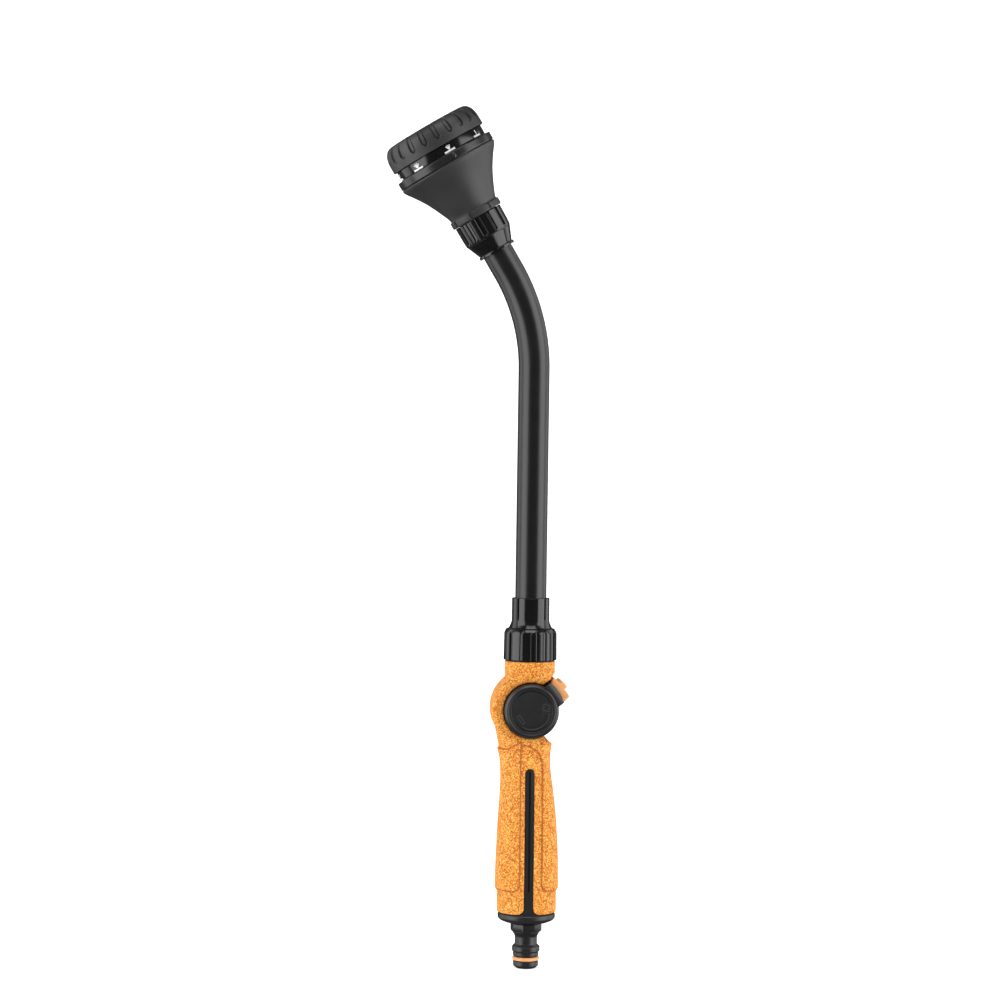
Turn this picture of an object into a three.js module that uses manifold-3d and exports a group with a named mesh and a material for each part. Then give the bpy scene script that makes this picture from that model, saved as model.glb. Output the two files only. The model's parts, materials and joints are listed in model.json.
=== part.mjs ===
// Watering wand: hose connector, handle with a thumb valve, bent tube and a spray head with a dial.
// Millimetres, +Z along the handle and the straight of the tube, origin at the connector's tip.
import * as THREE from 'three';
import { LoftGeometry } from 'three/addons/geometries/LoftGeometry.js';
import { mergeVertices } from 'three/addons/utils/BufferGeometryUtils.js';
import Module from 'manifold-3d';

const wasm = await Module();
wasm.setup();

const radians = THREE.MathUtils.degToRad;
const inDegrees = THREE.MathUtils.radToDeg;

// ---- driving dimensions ----
const GAP = 0.3; // between neighbours that touch on the real object
const RUN = 0.4; // between faces that turn against each other
const FINE = 32; // sides of a large round
const ROUND = 24; // sides of a middling round
const SMALL = 12; // sides of a small round

const TUBE_R = 9.75;
const TUBE_WALL = 1.2;
const TUBE_START = 195.5;
const BEND_TOP = 408.2; // height where the tube's two straights would meet
const BEND_ANGLE = radians(31.2);
const BEND_TURN = radians(4.5); // of the whole bend about the handle's axis, towards the front
const BEND_RADIUS = 119;
const HEAD_START = 47.6; // from that meeting point to the head's own zero, along the head
const TUBE_END = 22; // on the head's own axis

const BORE_R = 4.6; // water way through the handle
const FLANGE_R = 18;
const GRIP_START = 35.4;
const PAD_START = 50;
const PAD_TOP = 143.5;
const PAD_STEP = 1.3; // how far the pads stand out of the grip's lower band
const SKIN = 2.4; // wall of the grip sleeve
const SLOT_HALF = 2.85; // half width of the slot in the sleeve
const SLOT_TOP = 126.2;
const COLLAR_TOP = 191.9; // where the outlet spigot sits
const LIP_TOP = 193.1; // top of the sleeve's lip round the spigot's flange

const VALVE_Z = 162.8;
const BOSS_R = 24;
const BOSS_HALF = 16.4; // half depth of the boss
const HUB_R = 16.9;
const HUB_IN = 15;
const HUB_OUT = 22.5;
const CAP_R = 12.3; // plate let into each end of the hub
const DRUM_R = 15.4; // part of the core that the lever swings round
const DRUM_HALF = 14.5;
const LEVER_ANGLE = radians(37);
const ARM_HALF = 7.4;
const ARM_R = 20.7;
const PAD_HALF = 14;
const BALL_R = 9.3;
const CHAMBER_R = 10.6;
const NECK_R = 12.6; // wall round the valve chamber and its outlet
const STEM_R = 3.9;

const COLLAR_R = 15.8; // cork collar under the nut
const NUT_R = 16.7; // collar nut on the handle
const HEAD_NUT_R = 15.8;
const FLUTES = 13; // round each collar nut
const RIM_R = 32.75;
const BAND_R = 29.8;
const BEZEL_GROOVES = 22;
const PATTERNS = 8;
const PORT_R = 17; // radius of the circle of ports
const POST_R = 4;

// ---- finishes ----
const finish = (color, roughness, metalness = 0) => ({ color, roughness, metalness });
const BLACK = finish(0x1d1d1f, 0.42);
const SOFT_BLACK = finish(0x2a2a2c, 0.6);
const GLOSS_BLACK = finish(0x141416, 0.2);
const CORK = finish(0xe8a050, 0.85);
const TAN = finish(0xe8ae78, 0.6);
const RUBBER = finish(0x202020, 0.8);
const TUBE_BLACK = finish(0x1c1c1e, 0.35, 0.6);
const WHITE = finish(0xe9e7e0, 0.4);
const STEEL = finish(0xb8babc, 0.3, 1);
const NYLON = finish(0xd8d4c6, 0.5);

const wand = new THREE.Group();
const bend = new THREE.Group();
bend.rotation.z = BEND_TURN;
const head = new THREE.Group();
head.position.z = BEND_TOP;
head.rotation.y = -BEND_ANGLE;
const dial = new THREE.Group();
dial.position.z = HEAD_START;
head.add(dial);
bend.add(head);
wand.add(bend);

// ---- shape helpers ----
function solid(geometry) {
  const bare = geometry.index ? geometry.toNonIndexed() : geometry.clone();
  for (const name of ['normal', 'uv']) bare.deleteAttribute(name);
  const merged = mergeVertices(bare, 1e-4);
  const index = merged.index.array;
  const kept = [];
  for (let i = 0; i < index.length; i += 3) {
    const [a, b, c] = index.slice(i, i + 3);
    if (a !== b && b !== c && c !== a) kept.push(a, b, c);
  }
  const mesh = new wasm.Mesh({
    numProp: 3,
    vertProperties: merged.attributes.position.array,
    triVerts: new Uint32Array(kept),
  });
  return new wasm.Manifold(mesh);
}

function piece(name, shape, look, parent = wand) {
  let geometry = shape;
  if (shape instanceof wasm.Manifold) {
    const mesh = shape.getMesh();
    geometry = new THREE.BufferGeometry();
    geometry.setAttribute('position', new THREE.BufferAttribute(mesh.vertProperties, 3));
    geometry.setIndex(new THREE.BufferAttribute(mesh.triVerts, 1));
    geometry.computeVertexNormals();
  }
  const node = new THREE.Mesh(geometry, new THREE.MeshStandardMaterial(look));
  node.name = name;
  parent.add(node);
  return node;
}

// A ring or round of the profile [radius, height], turned about Z.
function turned(profile, sides = FINE) {
  const points = profile.map(([r, z]) => new THREE.Vector2(r, z));
  if (!THREE.ShapeUtils.isClockWise(points)) points.reverse();
  const closed = [...points, points[0].clone()];
  const geometry = new THREE.LatheGeometry(closed.reverse(), sides);
  return solid(geometry.rotateX(Math.PI / 2));
}

const disc = (r, from, to, sides = FINE) => turned([[0, from], [r, from], [r, to], [0, to]], sides);
const ring = (inner, outer, from, to, sides = FINE) =>
  turned([[inner, from], [outer, from], [outer, to], [inner, to]], sides);

function torus(radius, section, z, sides = ROUND) {
  return solid(new THREE.TorusGeometry(radius, section, 6, sides).translate(0, 0, z));
}

// An outline of [x, z] points pushed through from one y to another.
function slab(outline, from, to) {
  const shape = new THREE.Shape(outline.map(([x, z]) => new THREE.Vector2(x, z)));
  const geometry = new THREE.ExtrudeGeometry(shape, { depth: to - from, bevelEnabled: false });
  return solid(geometry.rotateX(Math.PI / 2).translate(0, to, 0));
}

function block(sx, sy, sz, x, y, z) {
  return solid(new THREE.BoxGeometry(sx, sy, sz).translate(x, y, z));
}

// A round along Y, at the valve's height.
function barrel(r, from, to, sides = FINE) {
  const geometry = new THREE.CylinderGeometry(r, r, to - from, sides);
  return solid(geometry.translate(0, (from + to) / 2, VALVE_Z));
}

// A round along Y on one side of the handle, from one distance out to another.
const outward = (r, side, near, far, sides) =>
  barrel(r, Math.min(side * near, side * far), Math.max(side * near, side * far), sides);

const spun = (shape, angle) => shape.rotate([0, 0, inDegrees(angle)]);

function around(count, phase, make) {
  return Array.from({ length: count }, (_, i) => make(phase + (i / count) * Math.PI * 2));
}

const cutAll = (shape, cutters) => cutters.reduce((rest, cutter) => rest.subtract(cutter), shape);
const addAll = (shape, extras) => extras.reduce((rest, extra) => rest.add(extra), shape);

// ---- handle outline ----
// Height, leftmost x and rightmost x of the raised pads.
const GRIP = [
  [27, -20, 19.9], [55, -20.1, 19.7], [80, -19.4, 18.9], [105, -18.1, 16.7], [120, -17.5, 14.6],
  [131, -18.2, 13.6], [139, -20.2, 14.3], [146, -21.6, 15.2], [152, -23, 15.4], [181, -16.4, 16.4],
  [196, -16.2, 16.2],
];
const GRIP_DEPTH = 0.93; // depth over width

function gripLoft(inset, sides = FINE) {
  const sections = GRIP.map(([z, left, right]) => {
    const centre = (left + right) / 2;
    const half = (right - left) / 2 - inset;
    const depth = half * GRIP_DEPTH + inset * (GRIP_DEPTH - 1);
    return Array.from({ length: sides }, (_, i) => {
      const a = (i / sides) * Math.PI * 2;
      return new THREE.Vector3(centre + half * Math.cos(a), depth * Math.sin(a), z);
    });
  });
  return solid(new LoftGeometry(sections, { capStart: true, capEnd: true }));
}

const slice = (shape, from, to) =>
  shape.intersect(block(200, 200, to - from, 0, 0, (from + to) / 2));

// The window that the lever swings in, seen along Y.
function windowCut(halfDepth) {
  const [c, s] = [Math.cos(LEVER_ANGLE), Math.sin(LEVER_ANGLE)];
  const above = ARM_HALF + 1.1;
  const upper = (t) => [t * c - above * s, VALVE_Z + t * s + above * c];
  const outline = [[0, VALVE_Z], [7.4, VALVE_Z - 15.2], [13.2, VALVE_Z - 20.9], [45, VALVE_Z - 20.9],
    [45, VALVE_Z + 40], upper(45), upper(8)];
  return slab(outline, -halfDepth, halfDepth);
}

// The slot for the strip: a straight slot with a round top and flared lower corners.
function slotCut(half, top, start) {
  const shape = new THREE.Shape();
  const flare = 4.4;
  const foot = start - 1;
  shape.moveTo(-half - flare, foot);
  shape.lineTo(half + flare, foot);
  shape.lineTo(half + flare, start);
  shape.absarc(half + flare, start + flare, flare, -Math.PI / 2, Math.PI, true);
  shape.lineTo(half, top - half);
  shape.absarc(0, top - half, half, 0, Math.PI, false);
  shape.lineTo(-half, start + flare);
  shape.absarc(-half - flare, start + flare, flare, 0, -Math.PI / 2, true);
  const geometry = new THREE.ExtrudeGeometry(shape, { depth: 60, bevelEnabled: false, curveSegments: 5 });
  return solid(geometry.rotateX(Math.PI / 2).translate(0, 30, 0));
}

// The area of one raised pad, seen along Y: side is -1 for the left one and 1 for the right one.
function padArea(side) {
  const edge = side < 0 ? -5.8 : 8;
  const outline = [[side * 40, PAD_START], [edge + side * 3.5, PAD_START], [edge, PAD_START + 4]];
  if (side < 0) outline.push([edge, PAD_TOP], [-14, 138.4], [-40, 138.4]);
  else outline.push([edge, 131.5], [6, 136], [2, 139.6], [-4.4, 141.5], [40, 141.5]);
  return slab(side < 0 ? outline : outline.slice().reverse(), -40, 40);
}

// ---- inlet ----
function hoseConnector() {
  const body = turned([
    [BORE_R - 0.3, 0], [6, 0], [7.85, 1.8], [7.85, 4.5], [5.9, 4.7], [5.9, 7.6], [8, 7.8], [8, 10.3],
    [8.7, 10.9], [8.7, 13.6], [7, 15.2], [7, 20.4], [9, 23.4], [9, 28.2], [8.2, 28.2], [8.2, 38],
    [BORE_R - 0.3, 38],
  ]);
  const shoulder = ring(6.5, 10, 23.2, 28.2, 8);
  const cone = turned([[0, 19], [6.2, 19], [10.6, 25], [10.6, 28.2], [0, 28.2]]);
  return body.add(shoulder.rotate([0, 0, 30.5]).intersect(cone));
}

// ---- handle ----
function handleCore() {
  const flange = turned([
    [0, 28.6], [10.5, 28.6], [15.5, 30], [FLANGE_R, 31.8], [FLANGE_R, 34], [FLANGE_R - 1, 35], [0, 35],
  ]);
  const grip = slice(gripLoft(PAD_STEP + SKIN + GAP, ROUND), 34, 181);
  const stripCut = slotCut(SLOT_HALF - GAP, SLOT_TOP - GAP, GRIP_START - GAP);
  const strips = slice(gripLoft(PAD_STEP + 0.4), 34, 150).intersect(stripCut);
  const boss = barrel(BOSS_R - SKIN - GAP, -DRUM_HALF, DRUM_HALF);
  const neck = disc(NECK_R, 160, COLLAR_TOP, ROUND);
  const shell = grip.add(boss).subtract(windowCut(40));
  const body = addAll(flange, [shell, neck, strips, barrel(DRUM_R, -DRUM_HALF, DRUM_HALF)]);
  const topSlice = block(80, 80, 60, 0, 0, COLLAR_TOP + 30);
  return cutAll(body, [
    topSlice,
    disc(8.6, 20, 40.6, ROUND),
    disc(BORE_R, 30, 200, SMALL),
    disc(CHAMBER_R, VALVE_Z - 10.4, 220, ROUND),
    barrel(STEM_R + 0.7, -40, 40, SMALL),
  ]);
}

function gripSleeve() {
  const base = slice(gripLoft(PAD_STEP), GRIP_START, COLLAR_TOP);
  const raised = slice(gripLoft(0), PAD_START, PAD_TOP);
  const pads = [-1, 1].map((side) => raised.intersect(padArea(side)));
  const boss = barrel(BOSS_R, -BOSS_HALF, BOSS_HALF, 48);
  const collar = ring(8, COLLAR_R, 180, COLLAR_TOP).add(ring(15, COLLAR_R, COLLAR_TOP - 1, LIP_TOP));
  const outer = addAll(base, [...pads, boss, collar]);
  const inner = addAll(slice(gripLoft(PAD_STEP + SKIN, ROUND), 20, 181), [
    barrel(BOSS_R - SKIN, -DRUM_HALF - GAP, DRUM_HALF + GAP),
    disc(NECK_R + GAP, 160, 220, ROUND),
  ]);
  return cutAll(outer, [
    inner,
    barrel(HUB_R + 0.5, -40, 40),
    windowCut(60),
    slotCut(SLOT_HALF, SLOT_TOP, GRIP_START),
  ]);
}

// ---- thumb valve ----
function valveSeat(side) {
  const profile = [[5.2, 10.1], [10.2, 10.1], [10.2, 5.3], [8.4, 5.3], [5.2, 8.4]];
  return turned(profile.map(([r, z]) => [r, VALVE_Z + side * z]), ROUND);
}

function valveBall() {
  const sphere = solid(new THREE.SphereGeometry(BALL_R, 20, 12).rotateX(Math.PI / 2));
  const slot = 2.6;
  const ball = cutAll(sphere, [
    disc(BORE_R + 0.4, -20, 20, SMALL),
    ...[-1, 1].map((side) => block(40, 4, 40, 0, side * 10.2, 0)),
    ...[-1, 1].map((side) => block(slot, 4, 40, 0, side * 8.2, 0)),
  ]);
  return ball.translate([0, 0, VALVE_Z]);
}

function valveStem(side) {
  const span = (r, near, far) => outward(r, side, near, far, SMALL);
  const round = addAll(span(STEM_R, 8.6, 11.4), [span(2.9, 11.2, 13.2), span(STEM_R, 13, 14.7)]);
  const key = block(2, 2.3, 7, 0, side * 7.6, VALVE_Z);
  const square = block(5, 2.6, 5, 0, side * 15.9, VALVE_Z);
  return addAll(round, [key, square]).subtract(span(1.9, 10.5, 20));
}

function stemOring(side) {
  const geometry = new THREE.TorusGeometry(3.75, 0.55, 6, SMALL).rotateX(Math.PI / 2);
  return solid(geometry.translate(0, side * 12.2, VALVE_Z));
}

// Room for the neck inside the yoke, which rises between its two sides.
const neckRoom = () => disc(NECK_R + RUN, VALVE_Z, COLLAR_TOP, ROUND);

// The lever is drawn along +X and turned up to its rest angle.
const raise = (shape) => shape
  .translate([0, 0, -VALVE_Z])
  .rotate([0, -inDegrees(LEVER_ANGLE), 0])
  .translate([0, 0, VALVE_Z]);

function leverYoke() {
  const strip = slab([[0, VALVE_Z - ARM_HALF], [30, VALVE_Z - ARM_HALF], [30, VALVE_Z + ARM_HALF],
    [0, VALVE_Z + ARM_HALF]], -HUB_OUT, HUB_OUT);
  const arm = strip.intersect(barrel(ARM_R, -HUB_OUT, HUB_OUT, 48));
  const cheeks = barrel(HUB_R, -HUB_OUT, HUB_OUT).add(arm).subtract(barrel(40, -HUB_IN, HUB_IN));
  const bridge = arm.subtract(barrel(HUB_R - 0.6, -30, 30));
  const recesses = [-1, 1].flatMap((side) => [
    outward(CAP_R + GAP, side, 20.2, 30, FINE),
    outward(4.2, side, 17.6, 30, SMALL),
  ]);
  return cutAll(raise(cheeks.add(bridge)), [
    ...recesses,
    neckRoom(),
    block(5.6, 60, 5.6, 0, 0, VALVE_Z),
  ]);
}

function thumbPad() {
  // Angle from the lever's middle and radius: a plain band, two teeth and a sloping end.
  const outer = [[-22.5, 21.2], [-16.8, 25.5], [-10.9, 25.2], [-7, 25], [-6.3, 23.9], [-4.6, 23.9],
    [-3.9, 27], [1, 27.1], [6.6, 26.5], [7.2, 24.7], [12, 24.7], [17.3, 24.7]];
  const inner = [17.4, 8, 0, -8, -15].map((degrees) => [degrees, 21.1]);
  const points = [...outer, ...inner].map(([degrees, r]) => {
    const angle = radians(degrees);
    return [r * Math.cos(angle), VALVE_Z + r * Math.sin(angle)];
  });
  return raise(slab(points, -PAD_HALF, PAD_HALF)).subtract(neckRoom());
}

// A plate with its marks let in: less, more and the wedge that grows between them.
function hubCap(side) {
  const [near, far] = [Math.min(side * 21.5, side * 23), Math.max(side * 21.5, side * 23)];
  const mark = (long, tall, radius, place, turn) => {
    const angle = radians(place);
    return block(long, far - near, tall, 0, (near + far) / 2, 0)
      .rotate([0, -turn, 0])
      .translate([radius * Math.cos(angle), 0, VALVE_Z + radius * Math.sin(angle)]);
  };
  const steps = 8;
  const wedge = Array.from({ length: steps + 1 }, (_, i) => [238 + (114 * i) / steps, 10.8]);
  for (let i = steps; i > 0; i -= 1) wedge.push([238 + (114 * i) / steps, 10.8 - (3.6 * i) / steps]);
  const outline = wedge.map(([degrees, r]) => {
    const angle = radians(degrees);
    return [r * Math.cos(angle), VALVE_Z + r * Math.sin(angle)];
  });
  return cutAll(outward(CAP_R, side, 20.5, 22, FINE), [
    mark(5.4, 1.4, 8.4, 216.7, 126.7),
    mark(4.3, 1.4, 9.2, 16, 28),
    mark(1.4, 4.3, 9.2, 16, 28),
    slab(outline, near, far),
  ]);
}

function hubScrew(side) {
  const span = (r, near, far, sides = SMALL) => outward(r, side, near, far, sides);
  return span(3.6, 17.9, 20).add(span(1.5, 11, 18)).subtract(span(1.2, 19.2, 21, 6));
}

// ---- tube and its nuts ----
function outletSpigot() {
  const body = turned([
    [6.3, 173.3], [10.2, 173.3], [10.2, COLLAR_TOP + GAP], [14.6, COLLAR_TOP + GAP], [14.6, LIP_TOP],
    [12.2, LIP_TOP], [12.2, 210], [10.1, 210], [10.1, TUBE_START - GAP], [6.3, TUBE_START - GAP],
  ], ROUND);
  return body.subtract(ring(9, 11.75, 203, 206, ROUND));
}

// A groove along a collar nut, open at one end and pointed at the other, which is at tip.
function flute(angle, radius, open, tip) {
  const half = 0.8;
  const shoulder = tip - Math.sign(tip - open) * 1.2;
  const outline = [[-half, open], [half, open], [half, shoulder], [0, tip], [-half, shoulder]];
  return spun(slab(outline, -radius - 2, -radius + 0.7), angle);
}

function tubeNut() {
  const body = turned([
    [12.7, 193.5], [NUT_R - 0.4, 193.5], [NUT_R, 193.9], [16.5, 210.4], [15.3, 212.9], [13.6, 213.4],
    [12.5, 215.6], [11.75, 217.8], [11.75, 232.2], [10.15, 232.2], [10.15, 214.2], [11.3, 214.2],
    [12.7, 212.4],
  ]);
  const flutes = around(FLUTES, radians(3), (a) => flute(a, NUT_R, 193, 211));
  const groove = (a) => spun(block(0.9, 3, 14, 0, -12.5, 225), a);
  return cutAll(body, [...flutes, ...around(4, Math.PI / 4, groove)]);
}

const ferrule = (from, up) => turned([
  [10.1, from], [12.3, from], [12.3, from + up * 1.6], [10.9, from + up * 3], [10.1, from + up * 3],
], ROUND);

function tubeShape() {
  const tangent = BEND_RADIUS * Math.tan(BEND_ANGLE / 2);
  const aim = new THREE.Vector3(-Math.sin(BEND_ANGLE), 0, Math.cos(BEND_ANGLE));
  const corner = new THREE.Vector3(0, 0, BEND_TOP);
  const bendStart = new THREE.Vector3(0, 0, BEND_TOP - tangent);
  const bendEnd = corner.clone().addScaledVector(aim, tangent);
  const start = new THREE.Vector3(0, 0, TUBE_START);
  const end = corner.clone().addScaledVector(aim, HEAD_START + TUBE_END);
  const lengths = [bendStart.z - TUBE_START, BEND_ANGLE * BEND_RADIUS, end.distanceTo(bendEnd)];
  const bendSteps = 9;
  const stations = [0, lengths[0] / 2];
  for (let i = 0; i <= bendSteps; i += 1) stations.push(lengths[0] + (lengths[1] * i) / bendSteps);
  stations.push(lengths[0] + lengths[1] + lengths[2]);
  const sectionAt = (station, radius) => {
    const turn = THREE.MathUtils.clamp((station - lengths[0]) / BEND_RADIUS, 0, BEND_ANGLE);
    const centre = start.clone();
    if (station <= lengths[0]) centre.z += station;
    else {
      centre.set(-BEND_RADIUS * (1 - Math.cos(turn)), 0, bendStart.z + BEND_RADIUS * Math.sin(turn));
      centre.addScaledVector(aim, Math.max(0, station - lengths[0] - lengths[1]));
    }
    const across = new THREE.Vector3(Math.cos(turn), 0, Math.sin(turn));
    return Array.from({ length: ROUND }, (_, i) => {
      const a = (i / ROUND) * Math.PI * 2;
      const point = centre.clone().addScaledVector(across, radius * Math.cos(a));
      point.y += radius * Math.sin(a);
      return point;
    });
  };
  const along = (radius, overshoot) => {
    const last = stations.length - 1;
    const sections = stations.map((station, i) => {
      const extra = i === 0 ? -overshoot : i === last ? overshoot : 0;
      return sectionAt(station + extra, radius);
    });
    return solid(new LoftGeometry(sections, { capStart: true, capEnd: true }));
  };
  return spun(along(TUBE_R, 0).subtract(along(TUBE_R - TUBE_WALL, 3)), BEND_TURN);
}

// ---- spray head, on its own axis ----
function headNut() {
  const body = turned([
    [10.15, -0.9], [12.1, -0.9], [12.1, 0.9], [11.2, 0.9], [15, 9.75], [15.5, 10.2], [HEAD_NUT_R, 23.4],
    [15.6, 23.8], [12.9, 23.8], [12.9, 5.2], [10.15, 5.2],
  ]);
  const cutters = around(FLUTES, radians(-12.7), (a) => flute(a, HEAD_NUT_R - 0.15, 24.4, 11.4));
  return cutAll(body, cutters);
}

function headShell() {
  const body = turned([
    [10.1, 9], [12.4, 9], [12.4, 24.1], [17, 24.1], [17, 28.3], [15.9, 28.6], [18.6, 35.6], [22.1, 43.4],
    [26.3, 50.3], [31.9, 58.1], [RIM_R, 60.6], [RIM_R, 65.9], [30.5, 65.9], [30.5, 61.2], [24.4, 51.5],
    [20, 44.4], [16.4, 36.4], [13.6, 30], [6.3, 26], [6.3, 22.4], [10.1, 22.4],
  ]);
  const notch = (a) => spun(block(2, 3, 6, 0, -17.4, 26), a);
  const index = (angle) => {
    const bump = new THREE.SphereGeometry(1.5, 8, 6).scale(0.9, 0.7, 1.2);
    return spun(solid(bump.translate(0, -RIM_R + 0.6, 63.6)), angle);
  };
  const sealGroove = ring(9, 11.75, 14, 17, ROUND);
  const cut = cutAll(body, [...around(8, radians(25.1), notch), sealGroove]);
  return cut.add(index(radians(1.6)).intersect(ring(RIM_R - 3, 40, 60, 65.8)));
}

// The fixed plate closes the bell, carries the dial's post and lets water out at one port.
function headBaseplate() {
  const skirt = turned([[28, 64.2], [30.1, 64.2], [30.1, 65.5], [28, 65.5]]);
  const post = disc(POST_R, 64, 80.6, ROUND);
  const boss = disc(5.2, 64, 66.4, ROUND).translate([0, -PORT_R, 0]);
  const plate = addAll(disc(30.1, 61.7, 64.4), [skirt, post, boss]);
  return cutAll(plate, [
    disc(3.9, 62.9, 70, ROUND).translate([0, -PORT_R, 0]),
    disc(2.4, 60, 70, SMALL).translate([0, -PORT_R, 0]),
    ring(POST_R - 1, POST_R + 2, 69.6, 71.2, SMALL),
    disc(1.9, 70, 90, SMALL),
  ]);
}

function portSpring() {
  const turns = 3;
  const steps = 30;
  const [radius, wire, from, to] = [3, 0.35, 63.6, 65.4];
  const sections = Array.from({ length: steps + 1 }, (_, i) => {
    const a = (i / steps) * turns * Math.PI * 2;
    const centre = [Math.cos(a), Math.sin(a)];
    return Array.from({ length: 6 }, (_unused, j) => {
      const b = (j / 6) * Math.PI * 2;
      const r = radius + wire * Math.cos(b);
      const height = from + (to - from) * (i / steps) - wire * Math.sin(b);
      return new THREE.Vector3(r * centre[0], r * centre[1] - PORT_R, height);
    });
  });
  return solid(new LoftGeometry(sections, { capStart: true, capEnd: true }));
}

const portSeal = () => ring(2, 3.6, 66.1, 68.2, SMALL).translate([0, -PORT_R, 0]);

// A leaf that clicks into the notches on the back of the dial.
function clickSpring() {
  const leaf = block(9, 5, 0.5, 0, PORT_R, 65);
  const foot = block(3, 5, 0.5, -3, PORT_R, 65);
  const nose = solid(new THREE.CylinderGeometry(0.9, 0.9, 5, 12).translate(2.8, PORT_R, 66));
  return addAll(foot, [leaf, nose]);
}

function diverterPlate() {
  const plate = disc(26.5, 68.8, 71.8);
  const port = (a) => spun(disc(1.9, 60, 80, 8).translate([0, -PORT_R, 0]), a);
  const notch = (a) => spun(block(1.4, 4, 1.2, 0, 24, 68.8), a);
  return cutAll(plate, [
    disc(POST_R + 1.1, 60, 80, SMALL),
    ...around(PATTERNS, 0, port),
    ...around(PATTERNS, 0, notch),
    ...around(3, Math.PI / 3, (a) => spun(disc(1.5, 60, 80, SMALL).translate([0, 10.5, 0]), a)),
  ]);
}

const iconBand = () => turned([
  [26.9, 66.3], [BAND_R - 0.4, 66.3], [BAND_R, 66.7], [BAND_R, 71.9], [26.9, 71.9],
]);

function selectorBezel() {
  const body = turned([
    [31, 72.2], [31.9, 73], [31.9, 78], [31.6, 80.6], [30.8, 83], [29.6, 85], [27.6, 87], [26, 87.8],
    [24.4, 87.4], [24.4, 80], [26.9, 80], [26.9, 72.2],
  ]);
  const groove = (a) => {
    const length = 14;
    const start = solid(new THREE.CylinderGeometry(1.7, 1.7, 4, 8).translate(0, -32, 78.4));
    const run = block(3.4, 4, length, 0, -32, 78.4 + length / 2);
    const deep = start.add(run).translate([0, 0.9, 0]);
    return spun(deep, a);
  };
  return cutAll(body, around(BEZEL_GROOVES, radians(-2), groove));
}

// Eight spray patterns, each a group of small holes on the ports' circle.
function sprayFace() {
  const body = turned([
    [0, 72.1], [26.5, 72.1], [26.5, 79.6], [24, 79.6], [24, 86], [23.2, 86.4], [0, 86.4],
  ]);
  const chamber = (a) => spun(disc(4.6, 60, 83.6, 8).translate([0, -PORT_R, 0]), a);
  const hole = (r, x, y, sides = 5) => disc(r, 80, 90, sides).translate([x, y - PORT_R, 0]);
  const circle = (count, radius, r) =>
    around(count, 0, (a) => hole(r, radius * Math.cos(a), radius * Math.sin(a)));
  const slotAcross = block(7, 0.8, 8, 0, -PORT_R, 86);
  const slotDown = block(0.8, 7, 8, 0, -PORT_R, 86);
  const patterns = [
    [...circle(8, 3.4, 0.5), ...circle(4, 1.5, 0.5)],
    [hole(1.3, 0, 0, 8)],
    [slotAcross],
    circle(6, 2.6, 0.45),
    [slotDown, slotAcross],
    [...circle(3, 2, 0.7)],
    [...circle(5, 3, 0.6), hole(0.6, 0, 0)],
    [slotDown],
  ];
  const placed = (pattern, i) => pattern.map((cut) => spun(cut, (i / PATTERNS) * Math.PI * 2));
  const cuts = patterns.flatMap(placed);
  return cutAll(body, [
    ...around(PATTERNS, 0, chamber),
    ...cuts,
    disc(POST_R + 0.6, 60, 80.9, SMALL),
    disc(6.6, 80.9, 90, ROUND),
    ...around(3, Math.PI / 3, (a) => spun(disc(1.2, 60, 78, SMALL).translate([0, 10.5, 0]), a)),
  ]);
}

function dialScrew(angle) {
  const shape = addAll(disc(2.6, 67.4, 68.5, SMALL), [disc(0.9, 68, 76, SMALL)]);
  return spun(shape.subtract(disc(0.8, 66, 68, 6)).translate([0, 10.5, 0]), angle);
}

function faceScrew() {
  return disc(5.8, 81.2, 82.6, SMALL).add(disc(1.5, 72, 82, SMALL)).subtract(disc(1.3, 82, 84, 6));
}

const faceScrewCap = () => turned([
  [0, 83.4], [6.2, 83.4], [6.2, 86], [5.2, 86.8], [2.8, 87.2], [0, 87.3],
], ROUND);

// ---- the assembly ----
piece('hose_connector', hoseConnector(), BLACK);
piece('connector_oring', torus(7.4, 1.15, 6.1), TAN);
piece('connector_washer', ring(BORE_R + 0.4, 8, 38.4, 40.2, ROUND), RUBBER);
piece('handle_core', handleCore(), BLACK);
piece('grip_sleeve', gripSleeve(), CORK);

piece('valve_seat_lower', valveSeat(-1), NYLON);
piece('valve_seat_upper', valveSeat(1), NYLON);
piece('valve_ball', valveBall(), WHITE);
for (const [end, side] of [['front', -1], ['rear', 1]]) {
  piece(`stem_${end}`, valveStem(side), NYLON);
  piece(`stem_oring_${end}`, stemOring(side), RUBBER);
  piece(`hub_screw_${end}`, hubScrew(side), STEEL);
  piece(`hub_cap_${end}`, hubCap(side), SOFT_BLACK);
}
piece('lever_yoke', leverYoke(), BLACK);
piece('thumb_pad', thumbPad(), TAN);

piece('outlet_spigot', outletSpigot(), BLACK);
piece('tube_seal_lower', torus(10.8, 0.6, 204.5), RUBBER);
piece('tube_ferrule_lower', ferrule(210.4, 1), NYLON);
piece('tube_nut', tubeNut(), GLOSS_BLACK);
piece('wand_tube', tubeShape(), TUBE_BLACK);

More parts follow.
